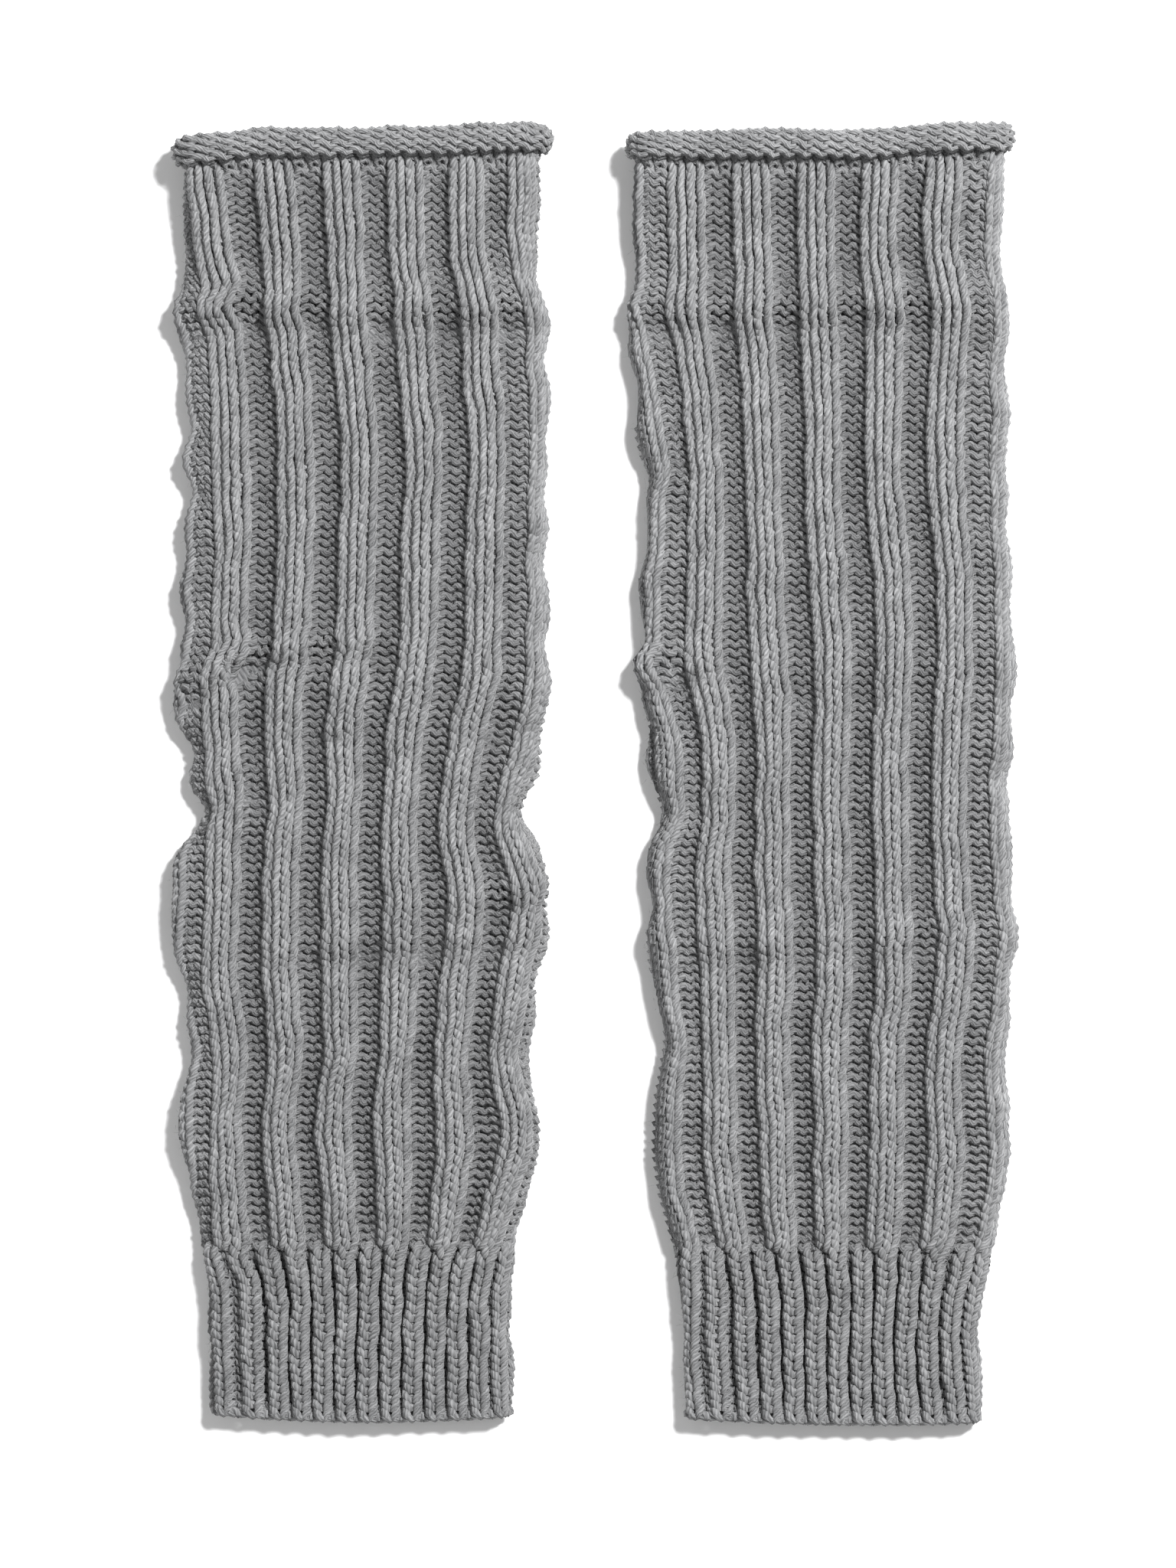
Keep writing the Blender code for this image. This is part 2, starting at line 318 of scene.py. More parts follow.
class YarnSettings(PropertyGroup):
    """The yarn and the shape of its loops."""

    thickness: FloatProperty(
        name="Yarn thickness", description="Diameter of the yarn", default=2.7 * MM, unit="LENGTH")
    slant_top: FloatProperty(
        name="Slant at the top", description="Swing of a loop's legs near the roll", default=1.15)
    slant_foot: FloatProperty(
        name="Slant at the cuff", description="Swing of a loop's legs in the cuff", default=1.65)
    reach: FloatProperty(
        name="Loop reach", description="Half a loop's height, as a share of the rows' pitch", default=0.86)
    depth: FloatProperty(
        name="Loop depth", description="How far a loop swings out of the cloth",
        default=1.15 * MM, unit="LENGTH")
    fibre: FloatProperty(
        name="Loose fibre", description="Width of the short fibres off the yarn",
        default=0.07 * MM, unit="LENGTH")
    uneven: FloatProperty(
        name="Unevenness", description="How much one stitch differs from the next", default=1.0)
    seed: IntProperty(name="Seed", description="Seed of the unevenness", default=11)


class ClothSettings(PropertyGroup):
    """The relief of the cloth and the shell behind the loops."""

    leg_gutter: FloatProperty(
        name="Leg gutters", description="Depth of the leg's gutters", default=4.6 * MM, unit="LENGTH")
    cuff_gutter: FloatProperty(
        name="Cuff gutters", description="Depth of the cuff's gutters", default=4.2 * MM, unit="LENGTH")
    pressed: FloatProperty(
        name="Gutters underneath", description="Share of the depth left underneath", default=0.3)
    middle: FloatProperty(
        name="Cloth's middle", description="The yarns' middle below the cloth's face",
        default=2.0 * MM, unit="LENGTH")
    wall: FloatProperty(
        name="Shell", description="Thickness of the shell behind the loops", default=1.0 * MM, unit="LENGTH")
    undulation: FloatProperty(
        name="Undulation", description="Height of the soft uneven waves", default=0.45 * MM, unit="LENGTH")


class WoolSettings(PropertyGroup):
    """The wool's colours and finish."""

    light: FloatVectorProperty(
        name="Light fibres", description="Colour of the palest fibres", subtype="COLOR", size=3,
        default=(0.300, 0.302, 0.307))
    dark: FloatVectorProperty(
        name="Dark fibres", description="Colour of the darkest fibres", subtype="COLOR", size=3,
        default=(0.040, 0.041, 0.043))
    plies: IntProperty(name="Plies", description="Strands round the yarn", default=6)
    twist: FloatProperty(
        name="Twist", description="Yarn length of one turn of the twist", default=12.0 * MM, unit="LENGTH")


class StageSettings(PropertyGroup):
    """Floor, lights and camera."""

    floor: FloatVectorProperty(
        name="Floor", description="Colour of the floor", subtype="COLOR", size=3, default=(0.9, 0.9, 0.9))
    key: FloatProperty(name="Key light", description="Strength of the light from the right", default=4.2)
    sky: FloatProperty(name="Fill", description="Strength of the even light", default=0.28)
    view_width: FloatProperty(
        name="View", description="Width of the floor that the camera takes in", default=0.4096, unit="LENGTH")


class LegWarmerSettings(PropertyGroup):
    """Everything that a user may change, by what it belongs to."""

    yarn: PointerProperty(type=YarnSettings, name="Yarn")
    cloth: PointerProperty(type=ClothSettings, name="Cloth")
    wool: PointerProperty(type=WoolSettings, name="Wool")
    stage: PointerProperty(type=StageSettings, name="Stage")


def settings():
    """The settings that the scene holds."""
    return bpy.context.scene.leg_warmers


# ---------------------------------------------------------------- the cloth's surface


class Warmer:
    """One warmer's cloth as a surface over rib repeats and heights. Millimetres."""

    def __init__(self, side):
        self.side = side
        self.rows = dict(zip(SECTION, np.array(SECTIONS[side]).T))
        self.outline = [np.array(edge).T for edge in OUTLINES[side]]
        self.seed = 100 * (1 + SIDES.index(side))
        cloth = settings().cloth
        self.leg_gutter = cloth.leg_gutter / MM
        self.cuff_gutter = cloth.cuff_gutter / MM
        self.pressed = cloth.pressed
        self.middle = cloth.middle / MM
        self.undulation = cloth.undulation / MM
        low, high = (Vector(corner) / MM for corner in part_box(f"{side}_cuff"))
        self.across = (low.x + high.x) / 2 - CUFF_MIDDLES[side]
        self.along = low.y
        self.curl = self.curl_profile()

    def curl_profile(self):
        """The cloth's middle through the roll: distance, outward, up, and the face's direction."""
        high = Vector(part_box(f"{self.side}_top_roll")[1]) / MM
        reach_out = (high.z - ROLL_LIFT - self.rows["thick"][-1] + CLOTH) / 2 - self.middle
        reach_up = ROLL_HEIGHT / 2 - self.middle
        centre_out, centre_up = (ROLL_LIFT - CLOTH) / 2, TUBE_TOP + ROLL_MIDDLE
        rising = np.linspace(0, 1, 20)[:-1]
        outward = list(mixed(-self.middle, centre_out - reach_out, ease(rising)))
        up = list(mixed(TUBE_TOP, centre_up, rising))
        face_out, face_up = [1.0] * len(up), [0.0] * len(up)
        for angle in np.radians(np.linspace(180, -110, 90)):
            outward.append(centre_out + reach_out * math.cos(angle))
            up.append(centre_up + reach_up * math.sin(angle))
            face = np.array([math.cos(angle) / reach_out, math.sin(angle) / reach_up])
            face /= -np.linalg.norm(face)
            face_out.append(face[0])
            face_up.append(face[1])
        steps = np.hypot(np.diff(outward), np.diff(up))
        distance = np.concatenate([[0.0], np.cumsum(steps)]) + TUBE_TOP
        return distance, outward, up, face_out, face_up

    def wale_bounds(self, height):
        """Where the repeat's four wales begin at each height."""
        to_leg = ease((height - CUFF_TOP + 4) / 8)
        to_roll = ease((height - TUBE_TOP + 3) / 9)
        cuff, leg, roll = (np.array(wales) for wales in (CUFF_WALES, LEG_WALES, ROLL_WALES))
        return [mixed(mixed(cuff[k], leg[k], to_leg), roll[k], to_roll) for k in range(5)]

    def repeat_of(self, wale, height):
        """The rib repeat, with its share, of a place counted in wales."""
        whole = np.floor(wale / 4)
        part = wale - 4 * whole
        bounds = self.wale_bounds(height)
        share = np.zeros(np.broadcast(wale, height).shape)
        for k in range(4):
            inside = np.clip(part - k, 0, 1)
            share = share + inside * (bounds[k + 1] - bounds[k])
        return whole + share

    def relief(self, share, height, seen):
        """Depth below the bands' crowns, as a value below 0, of which a share is seen."""
        leg = self.leg_gutter * (1 - rib_wave(share - 0.28, 0.20, 1.7))
        cuff = self.cuff_gutter * (1 - rib_wave(2 * (share - 0.31), 0.62, 1.2))
        cuff = cuff * mixed(0.4, 1.0, ease(height / 9))
        to_leg = ease((height - CUFF_TOP + 4) / 9)
        to_roll = ease((height - TUBE_TOP + 9) / 12)
        return -mixed(cuff, leg, to_leg) * (1 - to_roll) * seen

    def creased(self, x, height, facing):
        """Rise of the cloth in its creases. The underside has shallower ones, further up and mirrored."""
        upper = self.folds(x, height) * ease((facing + 0.2) / 0.7)
        return upper + 0.5 * self.folds(-x, height - 17) * ease(-facing / 0.6)

    def folds(self, x, height):
        """Rise of the creases and of the soft waves between them."""
        total = self.undulation * ripple(x, height * 0.8, self.seed + 1, 34.0)
        for row in CREASES[self.side]:
            crease = dict(zip(CREASE, row))
            turn = math.radians(crease["turn"])
            right, up = x - crease["across"], height - crease["height"]
            along = right * math.cos(turn) + up * math.sin(turn)
            over = up * math.cos(turn) - right * math.sin(turn)
            bow = 1.2 * np.sin(along / crease["length"] * 2.0)
            total += crease["rise"] * np.exp(
                -((along / crease["length"]) ** 4) - ((over - bow) / crease["width"]) ** 2)
        return total

    def swayed(self, x, height):
        """Sideways push of the ribs."""
        total = 0.55 * ripple(x * 0.5, height, self.seed + 2, 42.0)
        total += 0.35 * ripple(x, height, self.seed + 3, 17.0)
        for row in SWAYS[self.side]:
            sway = dict(zip(SWAY, row))
            up = (height - sway["height"]) / sway["reach_up"]
            over = (x - sway["across"]) / sway["reach_across"]
            total += sway["push"] * np.exp(-(up * up) - over * over)
        return total * ease((height - 2) / 20) * ease((TUBE_TOP + 4 - height) / 30)

    def way_round(self, repeat, left, right, ribs, radius):
        """Where a repeat's place lies round the flattened tube.

        Gives the distance over the upper side from its left end, or over the underside from its right end,
        a repeat's width there, and 1 for the upper side or -1 for the underside. The upper side's bands lie
        where the sections say, and the underside shares its width out among the repeats that are left.
        """
        one, three, five, spread = ribs
        step, bend = (five - one) / 4, (five + one - 2 * three) / 8
        half = right - left - 2 * radius + math.pi * radius
        bulge = radius * (math.pi / 2 - 1)

        def rib_place(along):
            beyond = np.minimum(along + 2, 0)
            place = three + step * along + bend * along ** 2 - spread * beyond ** 2
            return place, step + 2 * bend * along - 2 * spread * beyond

        def reached(x):
            along = (x - three) / step
            for _ in range(5):
                place, rate = rib_place(along)
                along = along - (place - x) / rate
            return along

        first, last = 3 + reached(left - bulge), 3 + reached(right + bulge)
        turned = first + np.mod(repeat - first, REPEATS)
        upper = turned <= last
        under_width = half / (first + REPEATS - last)
        place, rate = rib_place(turned - 3)
        way = np.where(upper, place - left + bulge, under_width * (turned - last))
        return way, np.where(upper, rate, under_width), np.where(upper, 1.0, -1.0)

    def led_to_edges(self, x, y, height):
        """Distance along the warmer near its two ends, which lean and sag."""
        for rise_at, (low, high), place in zip(EDGE_RISE[self.side], ((401, 437), (30, 0)), (-1, 0)):
            first, last = (edge[1][place] for edge in self.outline)
            low_slope, high_slope = rise_at[0] / first, rise_at[1] / last
            bow = (high_slope - low_slope) / (last - first)
            near = ease((height - low) / (high - low))
            y = y + near * ((low_slope - bow * first) * x + bow * x * x)
        return y

    def surface(self, repeat, height):
        """Points on the cloth's middle, the directions its face looks in, and how deep it lies in the rib's
        gutters and the creases' troughs, which the wool paints as shade.
        """
        flat_height = np.minimum(height, TUBE_TOP)
        left, right = (smooth_between(flat_height, *edge) for edge in self.outline)
        *ribs, thick = (
            smooth_between(flat_height, self.rows["height"], self.rows[name]) for name in SECTION[1:])
        radius = thick / 2
        flat = right - left - thick
        way, width, side = self.way_round(repeat, left, right, ribs, radius)
        quarter = math.pi / 2 * radius
        angle = np.where(way < quarter, math.pi - way / radius, math.pi / 2)
        angle = np.where(way > quarter + flat, math.pi / 2 - (way - quarter - flat) / radius, angle)
        centre = (np.clip(way - quarter, 0, flat) - flat / 2) * side + (left + right) / 2
        plain_x, plain_z = np.cos(angle) * side, np.sin(angle) * side
        run_x, run_z = np.sin(angle) * side, -np.cos(angle) * side

        # The rib is flatter near the sides and underneath
        inset = np.minimum(way - quarter, quarter + flat - way)
        seen = ease((plain_z + 0.1) / 0.95) * mixed(0.45, 1.0, ease((inset - 2) / 12))
        seen = seen + self.pressed * ease(-plain_z / 0.6)
        share = np.mod(repeat, 1.0)
        nudge = 0.01
        rib, ahead, back = (self.relief(share + shift, height, seen) for shift in (0, nudge, -nudge))
        slope = (ahead - back) / (2 * nudge) / width
        lean = 1 / np.sqrt(1 + slope * slope)
        face_x, face_z = (plain_x - slope * run_x) * lean, (plain_z - slope * run_z) * lean

        crease = self.creased(centre, height, plain_z)
        nudge = 0.4
        tilt_across = (self.creased(centre + nudge, height, plain_z) - crease) / nudge * side
        tilt_up = (self.creased(centre, height + nudge, plain_z) - crease) / nudge * (height < TUBE_TOP)

        distance, outward, up, curl_out, curl_up = self.curl
        out = np.interp(height, distance, outward)
        y = np.where(height > TUBE_TOP, np.interp(height, distance, up), height)
        in_out = np.interp(height, distance, curl_out)
        in_up = np.interp(height, distance, curl_up)
        lumps = 0.55 * ripple(centre + height, height * 1.5, self.seed + 6, 22.0)
        rise = rib + crease * in_out + lumps * ease((height - TUBE_TOP) / 6)
        tucked = ROLL_TUCKED * ease((height - TUBE_TOP) / 5)
        x = centre + (radius + out + rise * in_out - tucked) * plain_x
        z = radius + (radius + out + rise * in_out) * plain_z
        y = y + rise * in_up
        x = x + self.swayed(x, flat_height)
        y = y + 0.8 * ripple(x, 0 * x, self.seed + 5, 48.0) * ease((height - TUBE_TOP + 2) / 6)
        z = z + (ROLL_LIFT - ROLL_PRESSED) * ease((flat_height - LIFT_FROM) / (TUBE_TOP - LIFT_FROM))
        y = self.led_to_edges(x, y, flat_height)
        points = np.stack([x, y, z], -1)
        faces = np.stack([
            face_x * in_out - tilt_across * run_x,
            in_up - tilt_up,
            face_z * in_out - tilt_across * run_z], -1)
        # The third value is how deep the cloth lies in gutters and crease troughs; the wool paints shade
        # there
        return points, unit(faces), (-rib - 0.7 * np.minimum(crease, 0)) / self.leg_gutter

    def placed(self, points):
        """Millimetres from the warmer's own lines to metres in the frame."""
        return (points + np.array([self.across, self.along, 0.0])) * MM


# ---------------------------------------------------------------- meshes


def mesh_object(name, points, faces, uvs, painted_shades, material, node):
    """A smooth mesh from arrays of points and of faces, each array of faces with one corner count."""
    mesh = bpy.data.meshes.new(name)
    corners = np.concatenate([f.ravel() for f in faces]).astype(np.int32)
    sizes = np.concatenate([np.full(len(f), f.shape[1], np.int32) for f in faces])
    starts = np.concatenate([[0], np.cumsum(sizes)[:-1]]).astype(np.int32)
    mesh.vertices.add(len(points))
    mesh.vertices.foreach_set("co", np.asarray(points, np.float32).ravel())
    mesh.loops.add(len(corners))
    mesh.loops.foreach_set("vertex_index", corners)
    mesh.polygons.add(len(sizes))
    mesh.polygons.foreach_set("loop_start", starts)
    layer = mesh.uv_layers.new(name="yarn")
    layer.data.foreach_set("uv", np.concatenate([u.reshape(-1, 2) for u in uvs]).astype(np.float32).ravel())
    # Each point's depth in gutters and creases, which the wool paints as shade
    painted_shade = mesh.attributes.new("painted_shade", "FLOAT", "POINT")
    painted_shade.data.foreach_set("value", np.asarray(painted_shades, np.float32))
    mesh.update(calc_edges=True)
    mesh.shade_smooth()
    mesh.materials.append(material)
    thing = bpy.data.objects.new(name, mesh)
    bpy.context.scene.collection.objects.link(thing)
    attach(thing, "root")
    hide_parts(node)
    return thing


def yarn_tube(centre, face, radius, length, painted_shade, sides):
    """Runs of yarn as closed tubes, from runs x points x 3 middles: points, faces, UVs and each point's
    painted shade, from its depth in the gutters.
    """
    runs, count = centre.shape[:2]
    along = np.empty_like(centre)
    along[:, 1:-1] = centre[:, 2:] - centre[:, :-2]
    along[:, 0] = centre[:, 1] - centre[:, 0]
    along[:, -1] = centre[:, -1] - centre[:, -2]
    along = unit(along)
    across = unit(np.cross(along, face))
    out = np.cross(across, along)
    angles = 2 * math.pi * np.arange(sides) / sides
    ring = (
        across[:, :, None] * np.cos(angles)[:, None] + out[:, :, None] * np.sin(angles)[:, None]
    ) * radius[:, :, None, None]
    points = centre[:, :, None] + ring
    points[..., 2] = np.maximum(points[..., 2], ON_TABLE)
    number = np.arange(runs * count * sides).reshape(runs, count, sides)
    nxt = np.roll(number, -1, axis=2)
    quads = np.stack([number[:, :-1], nxt[:, :-1], nxt[:, 1:], number[:, 1:]], -1).reshape(-1, 4)
    start, end = length[:, :-1, None], length[:, 1:, None]
    low, high = np.arange(sides) / sides, (np.arange(sides) + 1) / sides
    corner = [
        np.broadcast_arrays(start, low), np.broadcast_arrays(start, high),
        np.broadcast_arrays(end, high), np.broadcast_arrays(end, low)]
    uvs = np.stack([np.stack(pair, -1) for pair in corner], -2).reshape(-1, 4, 2)
    caps = np.concatenate([number[:, 0, ::-1], number[:, -1]])
    cap_uv = np.zeros((len(caps), sides, 2))
    return points.reshape(-1, 3), [quads, caps], [uvs, cap_uv], np.repeat(painted_shade.ravel(), sides)


ROW_FIBRES = 50  # loose fibres to a row
# Where each loop is sampled, as turns of it in half circles: 0 is its head and 1 its sinker
SAMPLES = {
    "knit": (-0.75, -0.5, -0.27, 0.0, 0.27, 0.5, 0.75, 1.0),
    "purl": (-0.79, -0.5, -0.21, 0.0, 0.21, 0.5, 0.79, 1.0),
    "hidden": (-0.5, 0.0, 0.5, 1.0),
    "under": (-0.72, -0.26, 0.26, 0.72, 1.0),
}


def course_turns(kinds, first_wale, wales, under):
    """Turns of the yarn along a course, a whole turn a wale, at the samples of each wale's kind."""
    turns = []
    for wale in range(first_wale, first_wale + wales):
        kind = "under" if under else kinds[wale % 4]
        turns += [wale + 0.5 + sample / 2 for sample in SAMPLES[kind]]
    return turns


def knit_courses(warmer, heights, stitches, kinds, seed):
    """The yarn's middle line, face directions, radius and depth over a stretch of courses."""
    yarn = settings().yarn
    front = [FIRST_WALE] + course_turns(kinds, FIRST_WALE, FRONT_WALES, False)
    back = course_turns(kinds, FIRST_WALE + FRONT_WALES, WALES - FRONT_WALES, True)
    turns = np.array(front + back)[None, :]
    wale = np.ceil(turns - 1e-9).astype(int) - 1
    turn = (turns - wale - 0.5) * 2 * math.pi
    pitch = heights[1] - heights[0]
    rolled = heights[0] > TUBE_TOP
    heights = np.asarray(heights, float)[:, None]

    draw = np.random.default_rng(seed)
    uneven = draw.normal(0, yarn.uneven, (5, len(heights), WALES))
    uneven = np.clip(uneven, -2, 2)
    turns = turns + np.zeros_like(heights)
    place = np.mod(turns - 0.5, WALES)
    low = np.floor(place).astype(int) % WALES
    part = place - np.floor(place)
    rows = np.arange(len(heights))[:, None]
    slant_off, reach_off, side_off, depth_off, thick_off = (
        mixed(field[rows, low], field[rows, (low + 1) % WALES], part) for field in uneven)

    climb = np.clip((heights - TIGHT_TO) / OPENING, 0, 1)
    slant = mixed(yarn.slant_foot, yarn.slant_top, climb) * (1 + 0.10 * slant_off)
    depth = yarn.depth / MM * (ROLL_DEPTH if rolled else 1.0) * (1 + 0.10 * depth_off)
    kind = np.array(stitches, float)
    own = kind[wale % 4]
    beside = kind[(wale + np.where(turn > 0, 1, -1)) % 4]
    edge = ease((np.abs(turn) / math.pi - 0.5) * 2)
    forward = own + (beside - own) * 0.5 * edge
    shown = -forward if rolled else forward
    reach = mixed(TIGHT_REACH, 1.0, climb) * yarn.reach + FORWARD_REACH * shown
    reach = reach * pitch * (1 + 0.05 * reach_off)

    at_wale = wale + 0.5 + (turn + slant * np.sin(2 * turn)) / (2 * math.pi) + 0.025 * side_off
    at_height = heights + reach * np.cos(turn)
    if rolled:
        across = np.clip((at_wale - FIRST_WALE) / FRONT_WALES, 0, 1)
        lean = mixed(0.04, 0.18, np.abs(2 * across - 1))
        at_height = at_height + lean * pitch * np.sin(2 * turn)
    repeat = warmer.repeat_of(at_wale, at_height)
    points, faces, painted_shade = warmer.surface(repeat, at_height)
    wave = np.cos(2 * turn)
    side_on = 1.0 if rolled else mixed(0.55, 1.0, np.minimum(np.abs(faces[..., 2]) * 1.6, 1))
    swing = -forward * depth * side_on * wave * (1.35 - 0.35 * wave * wave) + 0.10 * thick_off
    centre = points + faces * swing[..., None]
    plump = mixed(TIGHT_YARN, 1.0, climb) * (ROLL_YARN if rolled else 1.0)
    radius = yarn.thickness / MM / 2 * plump * (1 + FORWARD_YARN * shown + 0.04 * thick_off)
    return centre, faces, radius, painted_shade, len(front)


def twisted_edge(warmer, height):
    """The yarn that binds an edge: it winds once round the edge at each wale."""
    steps, reach = 6, 0.85
    turns = FIRST_WALE + np.arange(WALES * steps + 1)[None, :] / steps
    phase = 2 * math.pi * turns
    repeat = warmer.repeat_of(turns + 0.1 * np.sin(phase), height + 0 * turns)
    points, faces, painted_shade = warmer.surface(repeat, height + reach * np.cos(phase))
    centre = points + faces * (reach * np.sin(phase))[..., None]
    return centre, faces, settings().yarn.thickness / MM / 2 * np.ones(turns.shape), painted_shade


def yarn_length(centre, seed):
    """Length along each course's yarn in centimetres, each from its own start."""
    steps = np.linalg.norm(np.diff(centre, axis=1), axis=-1)
    start = np.random.default_rng(seed).uniform(0, 900, (len(centre), 1))
    return np.concatenate([start, start + np.cumsum(steps, axis=1)], axis=1) / 10


def yarn_piece(name, warmer, heights, stitches, kinds, edges, material, node):
    """One stretch of courses as a mesh of closed yarns: upper side and underside."""
    seed = warmer.seed + int(heights[0])
    centre, faces, radius, painted_shade, fronts = knit_courses(warmer, heights, stitches, kinds, seed)
    fields = (centre, faces, radius, yarn_length(centre, seed + 1), painted_shade)
    parts = [
        (*(field[:, :fronts] for field in fields), 5),
        (*(field[:, fronts - 1:] for field in fields), 3),
    ]
    # Each edge's last value is its points' painted shade
    for height in edges:
        middle, face, thick, depth = twisted_edge(warmer, height)
        parts.append((middle, face, thick, yarn_length(middle, seed + 3), depth, 5))
    points, quads, uvs, painted_shades, base = [], [], [], [], 0
    made = [yarn_tube(*part) for part in parts]
    made.append(loose_fibres(warmer, heights[0], heights[-1], ROW_FIBRES * len(heights), seed + 4))
    for some_points, some_faces, some_uvs, some_painted_shades in made:
        points.append(some_points)
        painted_shades.append(some_painted_shades)
        quads += [f + base for f in some_faces]
        uvs += some_uvs
        base += len(some_points)
    mesh_object(
        name, warmer.placed(np.concatenate(points)), quads, uvs, np.concatenate(painted_shades), material, node)


def loose_fibres(warmer, low, high, count, seed):
    """Short bent fibres that stand off the yarn, as thin ribbons."""
    draw = np.random.default_rng(seed)
    repeat = draw.uniform(0, REPEATS, count)[:, None]
    height = draw.uniform(low, high, count)[:, None]
    points, faces, painted_shade = warmer.surface(repeat, height)
    start = points[:, 0] + faces[:, 0] * draw.uniform(1.6, 2.5, (count, 1))
    way = unit(draw.normal(0, 1, (count, 3)) + 0.35 * faces[:, 0])
    bend = unit(np.cross(way, draw.normal(0, 1, (count, 3))))
    long = draw.uniform(0.8, 2.6, (count, 1))
    wide = unit(np.cross(way, bend) + 0.4 * bend) * settings().yarn.fibre / MM / 2
    steps = [start + way * long * t + bend * long * 0.55 * t * t for t in (0.0, 0.5, 1.0)]
    thinner = zip(steps, (1, 0.8, 0.3))
    rings = np.stack([step + wide * side * thin for step, thin in thinner for side in (-1, 1)], 1)
    rings[..., 2] = np.maximum(rings[..., 2], ON_TABLE)
    first = 6 * np.arange(count)[:, None]
    quads = np.concatenate([first + np.array([0, 1, 3, 2]), first + np.array([2, 3, 5, 4])])
    uv = np.repeat(draw.uniform(0, 90, (2 * count, 1, 2)), 4, axis=1)
    return rings.reshape(-1, 3), [quads], [uv], np.repeat(painted_shade[:, 0], 6)


SHELL_STEPS = 6  # points in a repeat, round the shell
SHELL_ON_TABLE = 0.3  # the lowest that the shell lies


def shell_piece(name, warmer, low, high, rows, behind, material, node):
    """The thin closed shell behind the loops."""
    wales = 4 * np.arange(SHELL_STEPS * REPEATS)[None, :] / SHELL_STEPS
    heights = np.linspace(low, high, rows)[:, None]
    repeat = warmer.repeat_of(wales + 0 * heights, heights)
    points, faces, painted_shade = warmer.surface(repeat, heights + 0 * wales)
    wall = settings().cloth.wall / MM
    outer = points + faces * (behind + wall / 2)
    inner = points + faces * (behind - wall / 2)
    rings = np.concatenate([outer, inner[::-1]])
    rings[..., 2] = np.maximum(rings[..., 2], SHELL_ON_TABLE)
    count = rings.shape[1]
    number = np.arange(rings.shape[0] * count).reshape(rings.shape[0], count)
    upper, beside = np.roll(number, -1, axis=0), np.roll(number, -1, axis=1)
    quads = np.stack([number, beside, np.roll(upper, -1, axis=1), upper], -1).reshape(-1, 4)
    uv = np.stack(np.broadcast_arrays(heights[:, :, None] / 10, (wales / 2)[:, :, None]), -1)[..., 0, :]
    uv = np.concatenate([uv, uv[::-1]])
    corners = uv.reshape(-1, 2)[quads]
    painted_shades = np.concatenate([painted_shade, painted_shade[::-1]]).ravel()
    thing = mesh_object(
        name, warmer.placed(rings.reshape(-1, 3)), [quads], [corners], painted_shades, material, node)


# ---------------------------------------------------------------- wool


class Nodes:
    """Short ways to add nodes to a tree and join them up."""

    def __init__(self, tree):
        self.tree = tree

    def add(self, kind, **values):
        node = self.tree.nodes.new(kind)
        for name, value in values.items():
            setattr(node, name, value)
        return node

    def link(self, source, target):
        self.tree.links.new(source, target)

    def maths(self, operation, first, second=None):
        node = self.add("ShaderNodeMath", operation=operation)
        for socket, value in zip(node.inputs, (first, second)):
            if isinstance(value, (int, float)):
                socket.default_value = value
            elif value is not None:
                self.link(value, socket)
        return node.outputs[0]

    def mix(self, factor, first, second):
        node = self.add("ShaderNodeMix", data_type="RGBA")
        for socket, value in ((node.inputs[0], factor), (node.inputs[6], first), (node.inputs[7], second)):
            if isinstance(value, tuple):
                socket.default_value = value
            else:
                self.link(value, socket)
        return node.outputs[2]

    def noise(self, vector, scale, detail, roughness=0.5):
        node = self.add("ShaderNodeTexNoise")
        node.inputs["Scale"].default_value = scale
        node.inputs["Detail"].default_value = detail
        node.inputs["Roughness"].default_value = roughness
        self.link(vector, node.inputs["Vector"])
        return node.outputs["Fac"]

    def ramp(self, value, low, high):
        node = self.add("ShaderNodeMapRange")
        node.inputs["From Min"].default_value = low
        node.inputs["From Max"].default_value = high
        self.link(value, node.inputs["Value"])
        return node.outputs["Result"]


PAINTED_GUTTER_SHADE = (0.02, 0.02, 0.021, 1.0)  # painted shade: what the wool darkens towards where it lies deep in the gutters and creases
